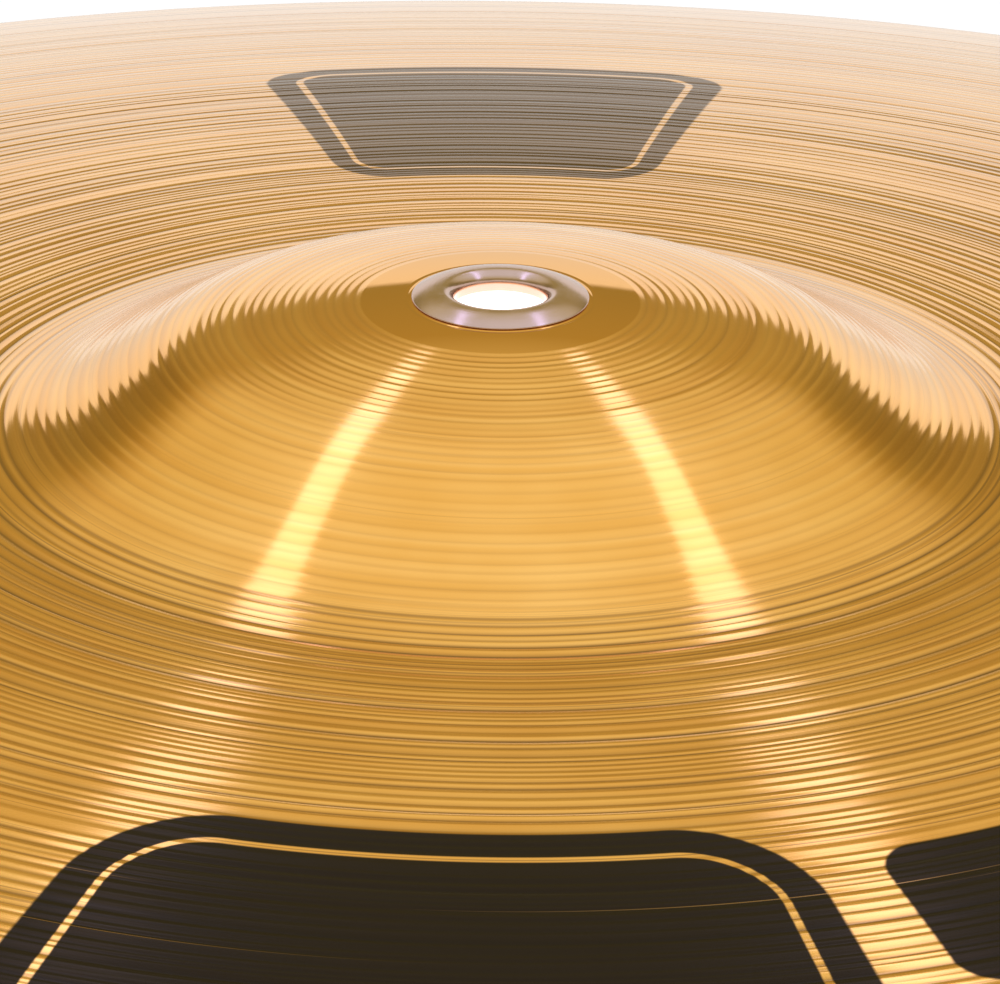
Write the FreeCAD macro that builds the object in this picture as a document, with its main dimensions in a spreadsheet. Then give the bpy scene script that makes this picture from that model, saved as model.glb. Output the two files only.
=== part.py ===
"""An 18 inch marching cymbal (one hand cymbal) with its strap hole grommet, in millimetres.

The cymbal lies cup up on its edge: +Z is up, and the origin is the centre of the edge's plane.
Three pieces: the pressed brass plate, the flanged eyelet through its hole, and the washer
under the cup that the eyelet's tail is rolled over.
"""
import FreeCAD, Part
import math
import os

import Sketcher

DIMENSIONS = [
    # alias, value, what it is
    ("outer_radius", 228.6, "rim of the plate, half of 18 inches"),
    ("hole_radius", 6.1, "strap hole punched through the cup"),
    ("plate_thickness", 1.0, "rolled brass sheet"),
    ("crown_height", 39.0, "top of the crown's sphere above the edge's plane"),
    ("crown_radius", 160.0, "gently domed top of the cup"),
    ("shoulder_radius", 30.8, "turn from the crown into the cup's flank"),
    ("flank_angle", 30.0, "slope of the cup's flank, in degrees"),
    ("flank_start", 43.0, "distance from the axis to the top of the flank"),
    ("cove_radius", 36.0, "hollow turn from the flank into the bow"),
    ("bow_radius", 800.0, "curve of the bow, from the cup to the edge"),
    ("bow_centre", 43.0, "distance from the axis to the bow curve's centre"),
    ("edge_land", 0.6, "flat ring that the cymbal rests on"),
    ("edge_break", 0.2, "sharp corners taken off the edge"),
    ("throat_radius", 5.5, "inside of the eyelet's barrel"),
    ("throat_length", 0.54, "straight stretch of the eyelet's barrel"),
    ("sheet", 0.3, "sheet that the eyelet and washer are pressed from"),
    ("roll_radius", 1.5, "roll from the eyelet's flange into its barrel"),
    ("tail_radius", 0.5, "roll of the eyelet's tail over the washer"),
    ("tail_edge", 7.9, "outer radius of the rolled tail"),
    ("flange_radius", 10.65, "outside of the eyelet's flange"),
    ("flange_curve", 8.0, "curve of the flange's top"),
    ("flange_foot", 10.3, "where the flange's underside meets the crown"),
    ("flange_lift", 0.02, "height of the flange's rim over the crown"),
    ("washer_hole", 6.1, "hole in the washer"),
    ("washer_radius", 10.2, "outside of the washer"),
]

# Halving this range this many times finds where the flank ends, to far below a micrometre.
FLANK_LIMIT = 40.0
HALVINGS = 60

START, END, CENTRE = 1, 2, 3
ORIGIN = (-1, START)
AXIS_H, AXIS_V = -1, -2


def make_sheet(doc):
    """The spreadsheet of driving dimensions, one named cell each."""
    sheet = doc.addObject("Spreadsheet::Sheet", "dims")
    for row, (alias, value, meaning) in enumerate(DIMENSIONS, start=1):
        sheet.set(f"A{row}", meaning)
        sheet.set(f"B{row}", str(value))
        sheet.setAlias(f"B{row}", alias)
    doc.recompute()
    return sheet


class Outline:
    """A closed outline in the XZ plane: x is the distance from the axis and y is the height."""

    def __init__(self, body, name):
        self.sketch = body.newObject("Sketcher::SketchObject", name)
        planes = [o for o in body.Origin.OriginFeatures if o.Role == "XZ_Plane"]
        self.sketch.AttachmentSupport = (planes[0], [""])
        self.sketch.MapMode = "FlatFace"

    def line(self, start, end):
        """A straight stretch between two (x, y) points."""
        points = [FreeCAD.Vector(*p, 0) for p in (start, end)]
        return self.sketch.addGeometry(Part.LineSegment(*points), False)

    def arc(self, centre, radius, start_degrees, end_degrees):
        """An arc, anticlockwise from its start angle to its end angle."""
        circle = Part.Circle(FreeCAD.Vector(*centre, 0), FreeCAD.Vector(0, 0, 1), radius)
        angles = [math.radians(a) for a in (start_degrees, end_degrees)]
        return self.sketch.addGeometry(Part.ArcOfCircle(circle, *angles), False)

    def rule(self, *what):
        """A constraint with no size."""
        self.sketch.addConstraint(Sketcher.Constraint(*what))

    def size(self, name, expression, value, *what):
        """A named size bound to the spreadsheet. The value only starts the solver."""
        index = self.sketch.addConstraint(Sketcher.Constraint(*what, value))
        self.sketch.renameConstraint(index, name)
        self.sketch.setExpression(f"Constraints.{name}", expression)

    def join(self, first, first_end, second, second_end):
        """Two stretches meet at a corner."""
        self.rule("Coincident", first, first_end, second, second_end)

    def blend(self, first, first_end, second, second_end):
        """Two stretches meet without a corner."""
        self.rule("Tangent", first, first_end, second, second_end)


def revolve(doc, body, outline, name):
    """Turns the outline round the vertical axis."""
    doc.recompute()
    sketch = outline.sketch
    if sketch.solve() != 0 or not sketch.FullyConstrained:
        raise RuntimeError(f"{sketch.Name} is not fully constrained")
    turned = body.newObject("PartDesign::Revolution", name)
    turned.Profile = outline.sketch
    turned.ReferenceAxis = (outline.sketch, ["V_Axis"])
    turned.Angle = 360.0
    body.Tip = turned
    doc.recompute()
    return turned


def cymbal_plate(doc, v):
    """The pressed plate: crown, shoulder, flank, cove and bow, the same thickness throughout."""
    body = doc.addObject("PartDesign::Body", "CymbalPlate")
    body.Label = "cymbal_plate"
    out = Outline(body, "PlateOutline")
    t, flank = v["plate_thickness"], v["flank_angle"]
    foot_x = v["outer_radius"] - v["edge_break"] - v["edge_land"]

    # Starting places for the solver, from the same tangent arcs.
    slope = math.radians(flank)
    crown_z = v["crown_height"] - v["crown_radius"]
    shoulder_x = v["flank_start"] - v["shoulder_radius"] * math.sin(slope)
    gap = v["crown_radius"] - v["shoulder_radius"]
    shoulder_z = crown_z + math.sqrt(gap**2 - shoulder_x**2)
    crown_end = math.degrees(math.asin(shoulder_x / gap))
    flank_top = (v["flank_start"], shoulder_z + v["shoulder_radius"] * math.cos(slope))
    bow_x = v["bow_centre"]
    bow_z = -math.sqrt((v["bow_radius"] - t) ** 2 - (foot_x - bow_x) ** 2)

    def cove_centre(run):
        """The cove's centre if the flank runs this far outwards."""
        x = flank_top[0] + run + v["cove_radius"] * math.sin(slope)
        z = flank_top[1] - run * math.tan(slope) + v["cove_radius"] * math.cos(slope)
        return x, z

    low, high = 0.0, FLANK_LIMIT
    for _ in range(HALVINGS):
        run = (low + high) / 2
        x, z = cove_centre(run)
        apart = math.hypot(x - bow_x, z - bow_z)
        low, high = (run, high) if apart > v["bow_radius"] + v["cove_radius"] else (low, run)
    cove = cove_centre(run)
    flank_foot = (flank_top[0] + run, flank_top[1] - run * math.tan(slope))
    bow_start = math.degrees(math.atan2(cove[0] - bow_x, cove[1] - bow_z))

    def bow_end(radius, x):
        return math.degrees(math.asin((x - bow_x) / radius))

    edge_x = v["outer_radius"]
    top_end = bow_end(v["bow_radius"], edge_x - v["edge_break"])
    top_z = bow_z + v["bow_radius"] * math.cos(math.radians(top_end))
    contours = {}
    for side, inset in (("top", 0.0), ("under", t)):
        step = (-inset * math.sin(slope), -inset * math.cos(slope))
        crown_r = v["crown_radius"] - inset
        hole_angle = math.degrees(math.acos(v["hole_radius"] / crown_r))
        end = top_end if side == "top" else bow_end(v["bow_radius"] - t, foot_x)
        crown = out.arc((0, crown_z), crown_r, 90 - crown_end, hole_angle)
        shoulder = out.arc(
            (shoulder_x, shoulder_z), v["shoulder_radius"] - inset, 90 - flank, 90 - crown_end
        )
        line = out.line(
            (flank_top[0] + step[0], flank_top[1] + step[1]),
            (flank_foot[0] + step[0], flank_foot[1] + step[1]),
        )
        hollow = out.arc(cove, v["cove_radius"] + inset, 270 - flank, 270 - bow_start)
        bow = out.arc((bow_x, bow_z), v["bow_radius"] - inset, 90 - end, 90 - bow_start)
        out.blend(crown, START, shoulder, END)
        out.blend(shoulder, START, line, START)
        out.blend(line, END, hollow, START)
        out.blend(hollow, END, bow, END)
        contours[side] = (crown, shoulder, line, hollow, bow)

    top, under = contours["top"], contours["under"]
    wall = out.line(
        (v["hole_radius"], crown_z + (v["crown_radius"] - t)),
        (v["hole_radius"], crown_z + v["crown_radius"]),
    )
    land = out.line((foot_x, 0), (edge_x - v["edge_break"], 0))
    low_break = out.line((edge_x - v["edge_break"], 0), (edge_x, v["edge_break"]))
    edge = out.line((edge_x, v["edge_break"]), (edge_x, top_z - v["edge_break"]))
    top_break = out.line((edge_x, top_z - v["edge_break"]), (edge_x - v["edge_break"], top_z))
    out.join(under[0], END, wall, START)
    out.join(wall, END, top[0], END)
    out.join(under[4], START, land, START)
    out.join(land, END, low_break, START)
    out.join(low_break, END, edge, START)
    out.join(edge, END, top_break, START)
    out.join(top_break, END, top[4], START)
    out.rule("Vertical", wall)
    out.rule("Horizontal", land)
    out.rule("Vertical", edge)
    out.rule("PointOnObject", top[0], CENTRE, AXIS_V)
    out.rule("PointOnObject", land, START, AXIS_H)
    for curve in (0, 1, 3, 4):
        out.rule("Coincident", top[curve], CENTRE, under[curve], CENTRE)

    rise = "dims.crown_height - dims.crown_radius"
    inner_crown = "dims.crown_radius - dims.plate_thickness"
    inner_bow = "dims.bow_radius - dims.plate_thickness"
    out.size("crown_centre", rise, crown_z, "DistanceY", *ORIGIN, top[0], CENTRE)
    out.size("crown", "dims.crown_radius", v["crown_radius"], "Radius", top[0])
    out.size("crown_under", inner_crown, v["crown_radius"] - t, "Radius", under[0])
    out.size("shoulder", "dims.shoulder_radius", v["shoulder_radius"], "Radius", top[1])
    out.size("cove", "dims.cove_radius", v["cove_radius"], "Radius", top[3])
    out.size("bow", "dims.bow_radius", v["bow_radius"], "Radius", top[4])
    out.size("bow_under", inner_bow, v["bow_radius"] - t, "Radius", under[4])
    out.size("bow_middle", "dims.bow_centre", bow_x, "DistanceX", *ORIGIN, top[4], CENTRE)
    out.size("flank_tilt", "-dims.flank_angle * 1deg", -slope, "Angle", top[2])
    out.size("flank_place", "dims.flank_start", v["flank_start"], "DistanceX", *ORIGIN, top[2], START)
    out.size("hole", "dims.hole_radius", v["hole_radius"], "DistanceX", *ORIGIN, wall, START)
    out.size("rim", "dims.outer_radius", edge_x, "DistanceX", *ORIGIN, edge, START)
    out.size("land_width", "dims.edge_land", v["edge_land"], "DistanceX", land, START, land, END)
    low_corner, top_corner = (low_break, START, low_break, END), (top_break, END, top_break, START)
    top_rise = (top_break, START, top_break, END)
    out.size("break_across", "dims.edge_break", v["edge_break"], "DistanceX", *low_corner)
    out.size("break_up", "dims.edge_break", v["edge_break"], "DistanceY", *low_corner)
    out.size("break_back", "dims.edge_break", v["edge_break"], "DistanceX", *top_corner)
    out.size("break_top", "dims.edge_break", v["edge_break"], "DistanceY", *top_rise)
    revolve(doc, body, out, "PlateTurned")
    return body


def grommet_eyelet(doc, v):
    """The eyelet: a domed flange on the crown, a short barrel, and a tail rolled outwards."""
    body = doc.addObject("PartDesign::Body", "GrommetEyelet")
    body.Label = "grommet_eyelet"
    out = Outline(body, "EyeletOutline")
    s, roll, tail = v["sheet"], v["roll_radius"], v["tail_radius"]
    roll_x = v["throat_radius"] + roll
    throat_top, throat_foot = 0.0, -v["throat_length"]
    flange_z = throat_top + roll - v["flange_curve"]
    tail_x = v["throat_radius"] + tail
    rim_x, foot_x = v["flange_radius"], v["flange_foot"]

    def flange_at(radius, x):
        """Height and angle of a flange curve at this distance from the axis."""
        angle = math.acos((x - roll_x) / radius)
        return flange_z + radius * math.sin(angle), math.degrees(angle)

    def crown_at(x):
        """Height of the crown over the centre of its sphere at this distance from the axis."""
        return math.sqrt(v["crown_radius"] ** 2 - x**2)

    drop = crown_at(foot_x) - crown_at(rim_x)
    rim_z, rim_angle = flange_at(v["flange_curve"], rim_x)
    foot_z, foot_angle = flange_at(v["flange_curve"] - s, foot_x)

    flange = out.arc((roll_x, flange_z), v["flange_curve"], rim_angle, 90)
    turn = out.arc((roll_x, throat_top), roll, 90, 180)
    throat = out.line((v["throat_radius"], throat_top), (v["throat_radius"], throat_foot))
    curl = out.arc((tail_x, throat_foot), tail, 180, 270)
    lip = out.line((tail_x, throat_foot - tail), (v["tail_edge"], throat_foot - tail))
    lip_end = out.line(
        (v["tail_edge"], throat_foot - tail), (v["tail_edge"], throat_foot - tail + s)
    )
    lip_back = out.line(
        (v["tail_edge"], throat_foot - tail + s), (tail_x, throat_foot - tail + s)
    )
    curl_back = out.arc((tail_x, throat_foot), tail - s, 180, 270)
    barrel = out.line((v["throat_radius"] + s, throat_foot), (v["throat_radius"] + s, throat_top))
    turn_back = out.arc((roll_x, throat_top), roll - s, 90, 180)
    flange_back = out.arc((roll_x, flange_z), v["flange_curve"] - s, foot_angle, 90)
    seat = out.line((foot_x, foot_z), (rim_x, foot_z - drop))
    rim = out.line((rim_x, foot_z - drop), (rim_x, rim_z))

    out.blend(flange, END, turn, START)
    out.blend(turn, END, throat, START)
    out.blend(throat, END, curl, START)
    out.blend(curl, END, lip, START)
    out.join(lip, END, lip_end, START)
    out.join(lip_end, END, lip_back, START)
    out.blend(lip_back, END, curl_back, END)
    out.blend(curl_back, START, barrel, START)
    out.blend(barrel, END, turn_back, END)
    out.blend(turn_back, START, flange_back, END)
    out.join(flange_back, START, seat, START)
    out.join(seat, END, rim, START)
    out.join(rim, END, flange, START)
    for upright in (throat, lip_end, rim):
        out.rule("Vertical", upright)
    out.rule("Vertical", flange, CENTRE, turn, CENTRE)
    out.rule("Horizontal", lip)
    out.rule("Horizontal", lip_back)
    out.rule("PointOnObject", throat, START, AXIS_H)
    for first, second in ((flange, flange_back), (turn, turn_back), (curl, curl_back)):
        out.rule("Coincident", first, CENTRE, second, CENTRE)

    out.size("throat", "dims.throat_radius", v["throat_radius"], "DistanceX", *ORIGIN, throat, START)
    length = v["throat_length"]
    out.size("throat_drop", "dims.throat_length", length, "DistanceY", throat, END, throat, START)
    out.size("turn_size", "dims.roll_radius", roll, "Radius", turn)
    out.size("flange_size", "dims.flange_curve", v["flange_curve"], "Radius", flange)
    out.size("curl_size", "dims.tail_radius", tail, "Radius", curl)
    out.size("thick_turn", "dims.roll_radius - dims.sheet", roll - s, "Radius", turn_back)
    out.size("thick_curl", "dims.tail_radius - dims.sheet", tail - s, "Radius", curl_back)
    out.size("lip_place", "dims.tail_edge", v["tail_edge"], "DistanceX", *ORIGIN, lip, END)
    out.size("rim_place", "dims.flange_radius", rim_x, "DistanceX", *ORIGIN, rim, START)
    out.size("foot_place", "dims.flange_foot", foot_x, "DistanceX", *ORIGIN, seat, START)
    fall = (
        "sqrt(dims.crown_radius^2 - dims.flange_foot^2)"
        " - sqrt(dims.crown_radius^2 - dims.flange_radius^2)"
    )
    out.size("seat_fall", fall, drop, "DistanceY", seat, END, seat, START)
    revolve(doc, body, out, "EyeletTurned")

    # The throat's top is the sketch's origin, so the body is lifted until the foot meets the crown.
    foot = (
        "sqrt((dims.flange_curve - dims.sheet)^2"
        " - (dims.flange_foot - dims.throat_radius - dims.roll_radius)^2)"
        " + dims.roll_radius - dims.flange_curve"
    )
    crown = "dims.crown_height - dims.crown_radius + sqrt(dims.crown_radius^2 - dims.flange_foot^2)"
    body.setExpression("Placement.Base.z", f"{crown} + dims.flange_lift - ({foot})")
    return body


def grommet_washer(doc, v):
    """The washer: a thin ring pressed to the crown's underside."""
    body = doc.addObject("PartDesign::Body", "GrommetWasher")
    body.Label = "grommet_washer"
    out = Outline(body, "WasherOutline")
    crown_z = v["crown_height"] - v["crown_radius"]
    face = v["crown_radius"] - v["plate_thickness"]
    back = face - v["sheet"]
    hole, rim = v["washer_hole"], v["washer_radius"]

    def ring(radius):
        angles = [math.degrees(math.acos(x / radius)) for x in (rim, hole)]
        return out.arc((0, crown_z), radius, *angles)

    upper, lower = ring(face), ring(back)
    inside = out.line(
        (hole, crown_z + math.sqrt(back**2 - hole**2)), (hole, crown_z + math.sqrt(face**2 - hole**2))
    )
    outside = out.line(
        (rim, crown_z + math.sqrt(back**2 - rim**2)), (rim, crown_z + math.sqrt(face**2 - rim**2))
    )
    out.join(lower, END, inside, START)
    out.join(inside, END, upper, END)
    out.join(upper, START, outside, END)
    out.join(outside, START, lower, START)
    out.rule("Vertical", inside)
    out.rule("Vertical", outside)
    out.rule("Coincident", upper, CENTRE, lower, CENTRE)
    out.rule("PointOnObject", upper, CENTRE, AXIS_V)
    rise = "dims.crown_height - dims.crown_radius"
    out.size("crown_centre", rise, crown_z, "DistanceY", *ORIGIN, upper, CENTRE)
    out.size("face", "dims.crown_radius - dims.plate_thickness", face, "Radius", upper)
    out.size("back", "dims.crown_radius - dims.plate_thickness - dims.sheet", back, "Radius", lower)
    out.size("hole", "dims.washer_hole", hole, "DistanceX", *ORIGIN, inside, START)
    out.size("rim", "dims.washer_radius", rim, "DistanceX", *ORIGIN, outside, START)
    revolve(doc, body, out, "WasherTurned")
    return body


def check(doc, bodies):
    """Stops with a message if any object failed or a piece is not one valid solid."""
    for thing in doc.Objects:
        if set(thing.State) & {"Invalid", "Error"}:
            raise RuntimeError(f"{thing.Name} failed: {thing.State}")
    for body in bodies:
        shape = body.Shape
        if shape.isNull() or not shape.isValid() or len(shape.Solids) != 1:
            raise RuntimeError(f"{body.Label} is not one valid solid")


def main():
    doc = FreeCAD.newDocument("cymbal")
    make_sheet(doc)
    values = {alias: value for alias, value, _ in DIMENSIONS}
    bodies = [make(doc, values) for make in (cymbal_plate, grommet_eyelet, grommet_washer)]
    doc.recompute()
    check(doc, bodies)
    os.makedirs("parts", exist_ok=True)
    for body in bodies:
        body.Shape.exportStep(f"parts/{body.Label}.step")
        box = body.Shape.BoundBox
        print(
            f"{body.Label}: volume {body.Shape.Volume:.1f} mm3, "
            f"x {box.XMin:.2f} to {box.XMax:.2f}, z {box.ZMin:.3f} to {box.ZMax:.3f}"
        )


main()
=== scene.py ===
"""One lathed brass hand cymbal lying cup up, with a nickel grommet in its strap hole.

The plate, the grommet's eyelet and its washer are turned in mesh code round the frame's own axis:
the plate with its lathe grooves cut in the surface, the eyelet with its rolled flange and tail.
"""

import math

import bpy
import numpy as np
from mathutils import Matrix, Vector


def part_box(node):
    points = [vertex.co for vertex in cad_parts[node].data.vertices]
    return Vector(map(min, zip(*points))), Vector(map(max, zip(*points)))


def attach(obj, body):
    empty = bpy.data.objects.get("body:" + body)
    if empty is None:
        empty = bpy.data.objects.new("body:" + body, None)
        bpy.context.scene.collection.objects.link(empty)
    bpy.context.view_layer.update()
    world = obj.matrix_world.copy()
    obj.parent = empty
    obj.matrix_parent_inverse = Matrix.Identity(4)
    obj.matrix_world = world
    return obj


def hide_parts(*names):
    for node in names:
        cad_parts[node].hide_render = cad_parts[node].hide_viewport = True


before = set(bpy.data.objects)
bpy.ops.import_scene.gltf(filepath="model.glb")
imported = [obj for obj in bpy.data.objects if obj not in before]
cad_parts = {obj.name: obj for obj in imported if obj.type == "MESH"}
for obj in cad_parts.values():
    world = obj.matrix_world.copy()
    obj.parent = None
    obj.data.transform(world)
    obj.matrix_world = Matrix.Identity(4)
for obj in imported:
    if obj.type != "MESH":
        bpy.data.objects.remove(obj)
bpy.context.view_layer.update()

MM = 0.001
SEED = 1813

# The plate's section, the same arcs as the CAD plate's, in millimetres.
OUTER_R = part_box("cymbal_plate")[1].x / MM
HOLE_R = 6.1
THICKNESS = 1.0
CROWN_HEIGHT = 39.0
CROWN_R = 160.0
SHOULDER_R = 30.8
FLANK_SLOPE = math.radians(30.0)
FLANK_START = 43.0
COVE_R = 36.0
BOW_R = 800.0
BOW_CENTRE = 43.0
EDGE_LAND = 0.6
EDGE_BREAK = 0.2
RING_R = 16.8  # the polished ring that the lathe leaves round the hole
STEEPEST = 0.12  # slope of the steepest side of a tool mark
DEEPEST = 0.08  # depth of the deepest tool mark, before it varies round the turn
UNDER_MARKS_START = HOLE_R + 5.0
SEAT_R = 10.9  # the fine line pressed round the grommet's flange

# The camera, from the photographed view. The focal length is a choice: others fit nearly as well.
LENS = 200.0
SENSOR = 36.0
CAMERA_DISTANCE = 666.25
CAMERA_ELEVATION = math.radians(21.257)
CAMERA_ROLL = math.radians(-0.738)
CAMERA_TILT = math.radians(-1.9695)
CAMERA_PAN = math.radians(0.022)
AIM_HEIGHT = 38.2  # height of the polished ring's outer edge

# The lathe's marks on the top face: (start, end, pitch, spread, depth, uneven), from the ring out.
TOP_MARKS = [
    (RING_R, 59.0, 1.22, 0.08, 0.036, 0.2),
    (59.0, 150.0, 1.5, 0.55, 0.062, 0.42),
    (150.0, 212.0, 1.3, 0.6, 0.030, 0.5),
    (212.0, OUTER_R - 1.0, 1.3, 0.3, 0.012, 0.3),
]

# The light tent: (elevation in degrees, colour) from straight down to the ceiling.
TENT = [
    (-90.0, (0.93, 0.91, 0.88, 1.0)),
    (0.0, (0.93, 0.91, 0.88, 1.0)),
    (17.0, (1.24, 1.17, 1.10, 1.0)),
    (17.6, (0.46, 0.37, 0.12, 1.0)),
    (30.0, (0.57, 0.47, 0.18, 1.0)),
    (37.0, (0.86, 0.80, 0.52, 1.0)),
    (46.0, (0.93, 0.91, 0.72, 1.0)),
    (62.0, (1.08, 1.12, 1.16, 1.0)),
]
DIM = (0.02, 0.015, 0.0, 1.0)
STRIP_POWER = 2.1
STRIP_COLOUR = (STRIP_POWER, STRIP_POWER * 1.05, STRIP_POWER * 1.65, 1.0)
STRIP_LEAN = 0.503
STRIP_PLACE = 0.487


# ---------------------------------------------------------------- shapes

class PlateSection:
    """Heights of the plate's two faces: crown, shoulder, flank, cove and bow as tangent arcs."""

    def __init__(self):
        tilt = FLANK_SLOPE
        self.crown_z = CROWN_HEIGHT - CROWN_R
        self.shoulder_x = FLANK_START - SHOULDER_R * math.sin(tilt)
        gap = CROWN_R - SHOULDER_R
        self.shoulder_z = self.crown_z + math.sqrt(gap**2 - self.shoulder_x**2)
        self.crown_tilt = math.asin(self.shoulder_x / gap)
        self.top = (FLANK_START, self.shoulder_z + SHOULDER_R * math.cos(tilt))
        foot = OUTER_R - EDGE_BREAK - EDGE_LAND
        self.bow_z = -math.sqrt((BOW_R - THICKNESS) ** 2 - (foot - BOW_CENTRE) ** 2)
        low, high = 0.0, 40.0
        for _ in range(60):
            self.run = (low + high) / 2
            x, z = self.cove_centre()
            far = math.hypot(x - BOW_CENTRE, z - self.bow_z) > BOW_R + COVE_R
            low, high = (self.run, high) if far else (low, self.run)
        self.cove_x, self.cove_z = self.cove_centre()
        self.cove_tilt = math.atan2(self.cove_x - BOW_CENTRE, self.cove_z - self.bow_z)

    def cove_centre(self):
        """The cove's centre if the flank runs this far outwards."""
        x = self.top[0] + self.run + COVE_R * math.sin(FLANK_SLOPE)
        z = self.top[1] - self.run * math.tan(FLANK_SLOPE) + COVE_R * math.cos(FLANK_SLOPE)
        return x, z

    def height(self, r, inset=0.0):
        """Height at distance r from the axis, of the face this far below the upper one."""
        r = np.asarray(r, float)
        sin, cos, tan = math.sin(FLANK_SLOPE), math.cos(FLANK_SLOPE), math.tan(FLANK_SLOPE)
        crown_r, shoulder_r = CROWN_R - inset, SHOULDER_R - inset
        cove_r, bow_r = COVE_R + inset, BOW_R - inset
        ends = [
            crown_r * math.sin(self.crown_tilt),
            self.top[0] - inset * sin,
            self.top[0] + self.run - inset * sin,
            self.cove_x - cove_r * math.sin(self.cove_tilt),
        ]

        def cap(radius, x):
            return np.sqrt(np.maximum(radius**2 - (r - x) ** 2, 0.0))

        pieces = [
            self.crown_z + cap(crown_r, 0.0),
            self.shoulder_z + cap(shoulder_r, self.shoulder_x),
            self.top[1] - inset * cos - (r - ends[1]) * tan,
            self.cove_z - cap(cove_r, self.cove_x),
        ]
        return np.select([r < end for end in ends], pieces, self.bow_z + cap(bow_r, BOW_CENTRE))


def lathe_cuts(start, end, pitch, spread, depth, uneven, seed):
    """Tool marks from start to end, each (inner radius, width, place of its bottom, depth, dirt).

    A mark's width varies by spread and its depth by uneven, in swells of several marks together.
    """
    rng = np.random.RandomState(seed)
    cuts, r, swell = [], start, 0.0
    while r < end:
        width = pitch * (1.0 + spread * rng.uniform(-1.0, 1.0))
        swell = 0.6 * swell + 0.4 * rng.uniform(-1.0, 1.0)
        level = max(1.0 + uneven * (1.6 * swell + rng.uniform(-1.0, 1.0)), 0.1)
        bottom = rng.uniform(0.45, 0.8)
        slope = min(depth * level, STEEPEST * (1.0 - bottom))
        cuts.append((r, width, bottom, min(slope * width, DEEPEST), min(level, 2.0) / 2.0))
        r += width
    return cuts


def cut_depth(r, angle, cuts, seed):
    """Depth and dirt of the marks over a grid of radii and angles, both uneven round the plate."""
    rng = np.random.RandomState(seed)
    depth = np.zeros((len(r), len(angle)))
    dirt = np.zeros((len(r), len(angle)))
    for start, width, bottom, deep, stain in cuts:
        near = (r > start) & (r < start + width)
        phase = rng.uniform(0.0, 2 * math.pi, 3)
        if not near.any():
            continue
        across = (r[near] - start) / width
        section = np.minimum(across / bottom, (1.0 - across) / (1.0 - bottom))[:, None]
        waves = 1.0 + 0.28 * sum(np.sin(n * angle + p) / n for n, p in zip((1, 2, 5), phase))
        depth[near] = section**1.1 * deep * waves
        dirt[near] = section**3 * stain * waves
    return depth, dirt


def turned(name, rings, segments, closed=True):
    """A surface of revolution from rings, each (radius, height) or arrays of them round the turn."""
    angle = np.arange(segments) * 2 * math.pi / segments
    radius = np.array([np.broadcast_to(r, segments) for r, _ in rings])
    height = np.array([np.broadcast_to(z, segments) for _, z in rings])
    points = np.stack([radius * np.cos(angle), radius * np.sin(angle), height], -1) * MM
    count = len(rings)
    row = np.arange(count if closed else count - 1)[:, None]
    col = np.arange(segments)[None]
    beside = (col + 1) % segments
    here, after = row * segments, (row + 1) % count * segments
    faces = np.stack([here + col, here + beside, after + beside, after + col], -1).reshape(-1, 4)
    mesh = bpy.data.meshes.new(name)
    mesh.vertices.add(count * segments)
    mesh.vertices.foreach_set("co", points.reshape(-1))
    mesh.loops.add(faces.size)
    mesh.loops.foreach_set("vertex_index", faces.reshape(-1))
    mesh.polygons.add(len(faces))
    mesh.polygons.foreach_set("loop_start", np.arange(len(faces)) * 4)
    mesh.polygons.foreach_set("use_smooth", np.ones(len(faces), bool))
    mesh.update(calc_edges=True)
    mesh.validate()
    piece = bpy.data.objects.new(name, mesh)
    bpy.context.scene.collection.objects.link(piece)
    return piece


def arc_points(centre, radius, start, end, count):
    """Points on an arc in the section plane, angles in degrees from outwards, anticlockwise."""
    angles = np.radians(np.linspace(start, end, count))
    return [(centre[0] + radius * math.cos(a), centre[1] + radius * math.sin(a)) for a in angles]


# ---------------------------------------------------------------- materials

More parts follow.
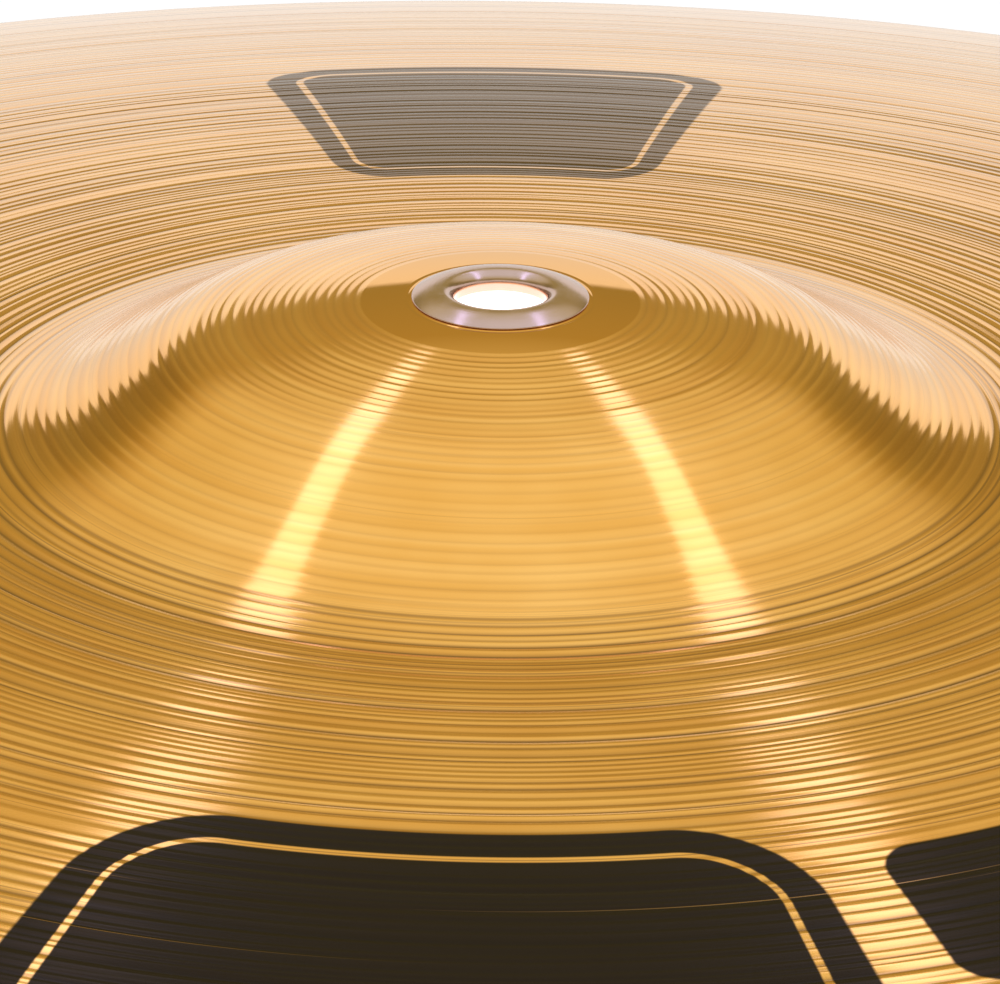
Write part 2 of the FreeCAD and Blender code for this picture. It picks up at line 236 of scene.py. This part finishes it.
class Nodes:
    """Short calls for building one material's node tree."""

    def __init__(self, name):
        self.material = bpy.data.materials.new(name)
        self.material.use_nodes = True
        self.tree = self.material.node_tree
        self.tree.nodes.clear()

    @classmethod
    def of(cls, tree):
        """The same calls for a tree that exists, such as a world's."""
        nodes = cls.__new__(cls)
        nodes.tree = tree
        tree.nodes.clear()
        return nodes

    def add(self, kind, inputs=None, **settings):
        node = self.tree.nodes.new(kind)
        for key, value in settings.items():
            setattr(node, key, value)
        for key, value in (inputs or {}).items():
            self.feed(node.inputs[key], value)
        return node

    def feed(self, socket, value):
        if isinstance(value, bpy.types.NodeSocket):
            self.tree.links.new(value, socket)
        else:
            socket.default_value = value

    def math(self, operation, *values, clamp=False):
        node = self.add("ShaderNodeMath", operation=operation, use_clamp=clamp)
        for socket, value in zip(node.inputs, values):
            self.feed(socket, value)
        return node.outputs[0]

    def map_range(self, interpolation, *values):
        node = self.add("ShaderNodeMapRange", interpolation_type=interpolation)
        for key, value in zip(("Value", "From Min", "From Max", "To Min", "To Max"), values):
            self.feed(node.inputs[key], value)
        return node.outputs["Result"]

    def ramp(self, value, low, high, to_low=0.0, to_high=1.0):
        """value from low to high, smoothly taken to the range to_low to to_high."""
        return self.map_range("SMOOTHSTEP", value, low, high, to_low, to_high)

    def ramp_to(self, value, low, high, to_low=0.0, to_high=1.0):
        """value from low to high, evenly taken to the range to_low to to_high."""
        return self.map_range("LINEAR", value, low, high, to_low, to_high)

    def mix(self, factor, one, other):
        node = self.add("ShaderNodeMix", data_type="RGBA")
        for socket, value in zip((node.inputs[0], node.inputs[6], node.inputs[7]), (factor, one, other)):
            self.feed(socket, value)
        return node.outputs[2]

    def noise(self, vector, scale, detail=2.0, roughness=0.5):
        inputs = {"Vector": vector, "Scale": scale, "Detail": detail, "Roughness": roughness}
        return self.add("ShaderNodeTexNoise", inputs).outputs["Fac"]

    def vector(self, *parts):
        node = self.add("ShaderNodeCombineXYZ")
        for socket, value in zip(node.inputs, parts):
            self.feed(socket, value)
        return node.outputs[0]

    def polar(self):
        """(radius in mm, x in mm, y in mm, height in mm) of the shaded point."""
        place = self.add("ShaderNodeTexCoord").outputs["Object"]
        split = self.add("ShaderNodeSeparateXYZ", {0: place}).outputs
        x, y, z = (self.math("MULTIPLY", out, 1.0 / MM) for out in split)
        squares = [self.math("MULTIPLY", side, side) for side in (x, y)]
        radius = self.math("SQRT", self.math("ADD", *squares))
        return radius, x, y, z

    def finish(self, shader):
        out = self.add("ShaderNodeOutputMaterial")
        self.tree.links.new(shader, out.inputs["Surface"])
        return self.material


def printed_band(n, radius, angle, inner, outer, start, end, corner):
    """Signed distance in mm from the outline of a plain printed patch with round corners.

    The patch runs between two radii and two angles, and the distance is negative inside it.
    """
    middle, half_width = (inner + outer) / 2, (outer - inner) / 2
    half_length = math.radians((end - start) / 2) * middle
    turn = n.math("ABSOLUTE", n.math("SUBTRACT", angle, math.radians((start + end) / 2)))
    along = n.math("SUBTRACT", n.math("MULTIPLY", turn, middle), half_length - corner)
    across = n.math("SUBTRACT", n.math("ABSOLUTE", n.math("SUBTRACT", radius, middle)), half_width - corner)
    outside = [n.math("POWER", n.math("MAXIMUM", side, 0.0), 2.0) for side in (along, across)]
    inside = n.math("MINIMUM", n.math("MAXIMUM", along, across), 0.0)
    return n.math("SUBTRACT", n.math("ADD", n.math("SQRT", n.math("ADD", *outside)), inside), corner)


def ink_mask(n, radius, x, y):
    """Where the plain printed patches are: two framed with a fine unprinted line, and a small one."""
    front = n.math("ARCTAN2", x, n.math("MULTIPLY", y, -1.0))
    back = n.math("ARCTAN2", x, y)
    framed = [
        (printed_band(n, radius, front, 106.0, 156.0, -21.5, 16.5, 16.0), 5.0),
        (printed_band(n, radius, back, 91.0, 155.0, -13.5, 12.5, 9.0), 4.0),
    ]
    small = printed_band(n, radius, front, 114.0, 140.0, 20.0, 32.0, 5.0)
    edge = 0.25
    ink = n.ramp(small, edge, -edge)
    for patch, inset in framed:
        line = n.ramp(n.math("ABSOLUTE", n.math("ADD", patch, inset)), 0.3, 0.6)
        ink = n.math("MAXIMUM", ink, n.math("MULTIPLY", n.ramp(patch, edge, -edge), line))
    return ink


def brass():
    """Lathed sheet brass: polished ring, fine turning marks, faint hammer marks, tarnish and print."""
    n = Nodes("lathed_brass")
    radius, x, y, _ = n.polar()
    tangent = n.add("ShaderNodeTangent", direction_type="RADIAL", axis="Z").outputs[0]

    stretch = 0.002  # how slowly the scratches change along the turn
    ring_scratch = n.vector(radius, n.math("MULTIPLY", x, stretch), n.math("MULTIPLY", y, stretch))
    fine = n.noise(ring_scratch, 2.2, 3.0, 0.7)
    broad = n.noise(ring_scratch, 0.35, 2.0, 0.6)
    flat = n.vector(x, y, 0.0)
    blotch = n.noise(flat, 0.035, 3.0, 0.55)
    hammer = n.noise(flat, 0.055, 1.0, 0.4)

    deep = (0.79, 0.375, 0.055, 1.0)
    light = (0.92, 0.50, 0.12, 1.0)
    tarnish = (0.30, 0.14, 0.02, 1.0)
    tone = n.math("ADD", n.math("MULTIPLY", broad, 0.55), n.math("MULTIPLY", blotch, 0.45))
    colour = n.mix(n.ramp(tone, 0.32, 0.68), deep, light)
    dirt = n.add("ShaderNodeAttribute", attribute_name="dirt").outputs["Fac"]
    bow = n.ramp(radius, 55.0, 62.0, 0.45, 1.4)
    score = n.ramp(n.noise(ring_scratch, 1.5, 3.0, 0.65), 0.58, 0.68, 0.0, 0.5)
    stain = n.math("MULTIPLY", n.math("MAXIMUM", dirt, score), bow, clamp=True)
    colour = n.mix(stain, colour, tarnish)

    rough = n.math("ADD", 0.11, n.math("MULTIPLY", n.math("SUBTRACT", blotch, 0.5), 0.06))
    rough = n.math("ADD", rough, n.math("MULTIPLY", n.math("SUBTRACT", fine, 0.5), 0.06))

    relief = n.math("ADD", n.math("MULTIPLY", fine, 0.008), n.math("MULTIPLY", hammer, 0.04))
    bump = n.add("ShaderNodeBump", {"Height": relief, "Strength": 1.0, "Distance": MM}).outputs[0]
    lathed = n.add(
        "ShaderNodeBsdfPrincipled",
        {
            "Base Color": colour,
            "Metallic": 1.0,
            "Roughness": rough,
            "Anisotropic": 0.85,
            "Anisotropic Rotation": 0.25,
            "Tangent": tangent,
            "Normal": bump,
            "Coat Weight": 0.35,
            "Coat Roughness": 0.06,
            "Coat Normal": bump,
        },
    ).outputs[0]

    speck = n.noise(flat, 0.8, 3.0, 0.7)
    polished = n.add(
        "ShaderNodeBsdfPrincipled",
        {
            "Base Color": n.mix(blotch, (0.72, 0.36, 0.06, 1.0), (0.76, 0.39, 0.08, 1.0)),
            "Metallic": 1.0,
            "Roughness": n.ramp(speck, 0.3, 0.8, 0.03, 0.06),
        },
    ).outputs[0]
    blend = 0.15
    beyond_ring = n.ramp(radius, RING_R - blend, RING_R + blend)
    metal = n.add("ShaderNodeMixShader", {0: beyond_ring, 1: polished, 2: lathed}).outputs[0]

    ink_coat = n.add(
        "ShaderNodeBsdfPrincipled",
        {
            "Base Color": (0.008, 0.005, 0.002, 1.0),
            "Metallic": 0.0,
            "Specular IOR Level": 0.07,
            "Specular Tint": (1.0, 0.72, 0.5, 1.0),
            "Roughness": n.ramp(fine, 0.3, 0.7, 0.14, 0.24),
            "Normal": bump,
        },
    ).outputs[0]
    normal = n.add("ShaderNodeNewGeometry").outputs["True Normal"]
    upper = n.ramp(n.add("ShaderNodeSeparateXYZ", {0: normal}).outputs[2], 0.0, 0.1)
    worn = n.ramp(n.noise(ring_scratch, 1.4, 2.0, 0.6), 0.24, 0.32)
    # Where the print stays: real wear from the noise, and on the half away from the camera (y above 0) a
    # thinner print that lets the brass through, a painted reflection of the pale surroundings seen at a low
    # angle.
    wear_and_painted_reflection = n.math("MULTIPLY", worn, n.ramp_to(y, -1.0, 1.0, 0.99, 0.8))
    ink = n.math("MULTIPLY", n.math("MULTIPLY", ink_mask(n, radius, x, y), upper), wear_and_painted_reflection)
    return n.finish(n.add("ShaderNodeMixShader", {0: ink, 1: metal, 2: ink_coat}).outputs[0])


def nickel():
    """Nickel plate on pressed brass: satin from handling, with fine drawing marks round the turn."""
    n = Nodes("satin_nickel")
    radius, x, y, z = n.polar()
    tangent = n.add("ShaderNodeTangent", direction_type="RADIAL", axis="Z").outputs[0]
    stretch = 0.03  # how slowly the drawing marks change along the turn
    turn = n.vector(radius, n.math("MULTIPLY", x, stretch), n.math("MULTIPLY", y, stretch))
    drawn = n.noise(turn, 5.0, 3.0, 0.6)
    cloud = n.noise(n.vector(x, y, z), 0.35, 3.0, 0.6)
    colour = n.mix(cloud, (0.48, 0.335, 0.275, 1.0), (0.56, 0.40, 0.335, 1.0))
    rough = n.math("ADD", n.ramp(cloud, 0.3, 0.7, 0.12, 0.19), n.math("MULTIPLY", drawn, 0.06))
    bump = n.add("ShaderNodeBump", {"Height": drawn, "Strength": 0.35, "Distance": 0.03 * MM}).outputs[0]
    shader = n.add(
        "ShaderNodeBsdfPrincipled",
        {
            "Base Color": colour,
            "Metallic": 1.0,
            "Roughness": rough,
            "Anisotropic": 0.35,
            "Anisotropic Rotation": 0.25,
            "Tangent": tangent,
            "Normal": bump,
        },
    ).outputs[0]
    return n.finish(shader)


# ---------------------------------------------------------------- pieces

def belongs(piece, node, material):
    """The piece stands for its CAD node and takes the node's place in the assembly."""
    piece.data.materials.append(material)
    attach(piece, "root")
    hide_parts(node)


def plate(material):
    """The plate, with the lathe's grooves cut into both faces."""
    section = PlateSection()
    segments = 288
    top_step, lip = 0.2, 0.08
    angle = np.arange(segments) * 2 * math.pi / segments
    foot = OUTER_R - EDGE_BREAK - EDGE_LAND
    ring_r = np.linspace(HOLE_R, RING_R, 72)
    lathed_r = np.arange(RING_R + top_step, OUTER_R - EDGE_BREAK, top_step)
    top_r = np.concatenate([ring_r, lathed_r])
    under_r = np.linspace(foot, HOLE_R, 420)
    top_cuts = [(SEAT_R, 0.6, 0.5, 0.05, 1.0)]
    for place, marks in enumerate(TOP_MARKS):
        top_cuts += lathe_cuts(*marks, SEED + place)
    under_cuts = lathe_cuts(UNDER_MARKS_START, foot - 1.0, 2.4, 0.4, 0.03, 0.5, SEED + 4)
    top_depth, top_dirt = cut_depth(top_r, angle, top_cuts, SEED + 5)
    under_depth, under_dirt = cut_depth(under_r, angle, under_cuts, SEED + 6)
    top_z = section.height(top_r)[:, None] - top_depth
    under_z = section.height(under_r, THICKNESS)[:, None] + under_depth
    under_z[0] = 0.0
    rim_z = top_z[-1]
    rings = [(r, z) for r, z in zip(top_r, top_z)]
    rings += [
        (OUTER_R - lip, rim_z - 0.06),
        (OUTER_R, rim_z - EDGE_BREAK),
        (OUTER_R, EDGE_BREAK),
        (OUTER_R - lip, 0.06),
        (OUTER_R - EDGE_BREAK, 0.0),
    ]
    rings += [(r, z) for r, z in zip(under_r, under_z)]
    piece = turned("plate", rings[::-1], segments)
    dirt = np.zeros((len(rings), segments), np.float32)
    dirt[: len(top_r)] = top_dirt
    dirt[-len(under_r):] = under_dirt
    stain = piece.data.attributes.new("dirt", "FLOAT", "POINT")
    stain.data.foreach_set("value", dirt[::-1].reshape(-1))
    belongs(piece, "cymbal_plate", material)
    return piece


def eyelet(material):
    """The eyelet: domed flange, roll into the barrel, and the tail rolled out under the washer."""
    low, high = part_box("grommet_eyelet")
    bottom, top, rim_r = low.z / MM, high.z / MM, high.x / MM
    sheet, throat_r, roll, tail, tail_edge = 0.3, 5.5, 1.5, 0.5, 7.9
    flange_curve, foot_r = 8.0, 10.3
    roll_at = (throat_r + roll, top - roll)
    flange_at = (throat_r + roll, top - flange_curve)
    tail_at = (throat_r + tail, bottom + tail)

    def tilt(x, radius):
        return math.degrees(math.acos((x - flange_at[0]) / radius))

    inner = flange_curve - sheet
    foot_z = flange_at[1] + math.sqrt(inner**2 - (foot_r - flange_at[0]) ** 2)
    lip = 0.07
    profile = arc_points(flange_at, flange_curve, tilt(rim_r - lip, flange_curve), 90, 20)
    profile += arc_points(roll_at, roll, 90, 180, 18)[1:]
    profile += arc_points(tail_at, tail, 180, 270, 10)
    profile += [(tail_edge - lip, bottom), (tail_edge, bottom + lip), (tail_edge, bottom + sheet - lip)]
    profile += [(tail_edge - lip, bottom + sheet), (tail_at[0] + 0.05, bottom + sheet)]
    profile += arc_points(tail_at, tail - sheet, 270, 180, 6)
    profile += arc_points(roll_at, roll - sheet, 180, 90, 12)
    profile += arc_points(flange_at, inner, 90, tilt(foot_r, inner), 12)[1:]
    rim_z = flange_at[1] + math.sqrt(flange_curve**2 - (rim_r - flange_at[0]) ** 2)
    profile += [(rim_r - lip, foot_z - 0.02), (rim_r, foot_z + 0.02), (rim_r, rim_z - 0.02)]
    piece = turned("eyelet", profile, 192)
    belongs(piece, "grommet_eyelet", material)
    return piece


def washer(material):
    """The washer pressed to the underside of the crown, its corners just broken."""
    _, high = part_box("grommet_washer")
    hole, rim, sheet, soft = HOLE_R, high.x / MM, 0.3, 0.05
    face = CROWN_R - THICKNESS
    centre = CROWN_HEIGHT - CROWN_R

    def on(radius, x):
        return (x, centre + math.sqrt(radius**2 - x * x))

    upper = [on(face - 0.01, x) for x in np.linspace(hole + soft, rim - soft, 8)]
    lower = [on(face - sheet + 0.01, x) for x in np.linspace(rim - soft, hole + soft, 8)]
    profile = upper + [on(face - soft, rim), on(face - sheet + soft, rim)]
    profile += lower + [on(face - sheet + soft, hole), on(face - soft, hole)]
    piece = turned("washer", profile[::-1], 128)
    belongs(piece, "grommet_washer", material)
    return piece


# ---------------------------------------------------------------- studio

def floor():
    """A white ground, bright enough to read as plain white, that fades to the tent's colour far off.

    It glows more under the cymbal, so that it reads as white through the strap hole too.
    """
    n = Nodes("white_ground")
    place = n.add("ShaderNodeTexCoord").outputs["Object"]
    grain = n.noise(place, 900.0, 2.0, 0.5)
    shade = n.mix(grain, (0.27, 0.27, 0.27, 1.0), (0.29, 0.29, 0.29, 1.0))
    radius = n.polar()[0]
    glow = n.ramp(radius, 120.0, 190.0, 2.2, 0.74)
    white, distant = (1.0, 1.0, 1.0, 1.0), (0.80, 0.79, 0.795, 1.0)
    tint = n.mix(n.ramp(radius, 500.0, 4000.0), white, distant)
    shader = n.add(
        "ShaderNodeBsdfPrincipled",
        {"Base Color": shade, "Roughness": 0.8, "Emission Color": tint, "Emission Strength": glow},
    ).outputs[0]
    material = n.finish(shader)
    reach, sunk = 30.0, 0.0002
    mesh = bpy.data.meshes.new("ground")
    corners = [(-reach, -reach), (reach, -reach), (reach, reach), (-reach, reach)]
    mesh.from_pydata([(x, y, -sunk) for x, y in corners], [], [(0, 1, 2, 3)])
    ground = bpy.data.objects.new("ground", mesh)
    mesh.materials.append(material)
    bpy.context.scene.collection.objects.link(ground)


def surroundings():
    """A light tent: white low down, a dim yellow gap, a lit ceiling, two long strips and dim sides.

    Each strip is a wedge round the line where |x| + STRIP_LEAN * y is STRIP_PLACE, as directions
    from the cymbal. It widens with |x|, so the lathed surface shows it as one straight highlight.
    """
    world = bpy.data.worlds.new("tent")
    bpy.context.scene.world = world
    world.use_nodes = True
    n = Nodes.of(world.node_tree)
    place = n.add("ShaderNodeTexCoord").outputs["Generated"]
    x, y, z = n.add("ShaderNodeSeparateXYZ", {0: place}).outputs
    side = n.math("ABSOLUTE", x)
    ramp = n.add("ShaderNodeValToRGB", {0: n.ramp_to(z, -1.0, 1.0)})
    elements = ramp.color_ramp.elements
    while len(elements) < len(TENT):
        elements.new(0.5)
    for element, (elevation, colour) in zip(elements, TENT):
        element.position = 0.5 + 0.5 * math.sin(math.radians(elevation))
        element.color = colour
    soft = 0.003
    half_width = n.math("ADD", n.math("MULTIPLY", side, 0.105), 0.004)
    across = n.math("SUBTRACT", n.math("ADD", side, n.math("MULTIPLY", y, STRIP_LEAN)), STRIP_PLACE)
    strip = n.ramp(n.math("SUBTRACT", n.math("ABSOLUTE", across), half_width), soft, -soft)
    strip = n.math("MULTIPLY", strip, n.ramp(z, 0.57, 0.63))
    strip = n.math("MULTIPLY", strip, n.ramp(z, 0.95, 0.90))
    dim_sides = n.math("MULTIPLY", n.ramp(side, 0.18, 0.5), n.ramp(z, 0.56, 0.42))
    dim_sides = n.math("MULTIPLY", dim_sides, n.ramp(z, 0.292, 0.302))
    gap = n.mix(n.math("MULTIPLY", dim_sides, 0.35), ramp.outputs[0], DIM)
    light = n.mix(strip, gap, STRIP_COLOUR)
    shader = n.add("ShaderNodeBackground", {"Color": light, "Strength": 1.0}).outputs[0]
    n.tree.links.new(shader, n.add("ShaderNodeOutputWorld").inputs["Surface"])


def camera():
    """The photographed view: the pose as rows of right, up and forward, turned by pan, tilt, roll."""
    e = CAMERA_ELEVATION
    back = Vector((0.0, -math.cos(e), math.sin(e)))
    forward = -back
    right = Vector((1.0, 0.0, 0.0))
    up = right.cross(forward)
    rows = Matrix((right, up, forward))
    cos, sin = math.cos, math.sin
    pan = Matrix((
        (cos(CAMERA_PAN), 0, -sin(CAMERA_PAN)),
        (0, 1, 0),
        (sin(CAMERA_PAN), 0, cos(CAMERA_PAN)),
    ))
    tilt = Matrix((
        (1, 0, 0),
        (0, cos(CAMERA_TILT), -sin(CAMERA_TILT)),
        (0, sin(CAMERA_TILT), cos(CAMERA_TILT)),
    ))
    roll = Matrix((
        (cos(CAMERA_ROLL), -sin(CAMERA_ROLL), 0),
        (sin(CAMERA_ROLL), cos(CAMERA_ROLL), 0),
        (0, 0, 1),
    ))
    pose = roll @ tilt @ pan @ rows
    data = bpy.data.cameras.new("view")
    data.lens, data.sensor_width, data.sensor_fit = LENS, SENSOR, "HORIZONTAL"
    data.clip_start, data.clip_end = 0.05, 100.0
    view = bpy.data.objects.new("view", data)
    turn = Matrix((pose[0], pose[1], -pose[2])).transposed()
    place = (back * CAMERA_DISTANCE + Vector((0.0, 0.0, AIM_HEIGHT))) * MM
    view.matrix_world = Matrix.Translation(place) @ turn.to_4x4()
    bpy.context.scene.collection.objects.link(view)
    bpy.context.scene.camera = view


camera()
floor()
surroundings()
brass_material = brass()
nickel_material = nickel()
plate(brass_material)
eyelet(nickel_material)
washer(nickel_material)
bpy.context.scene.view_settings.view_transform = "Standard"
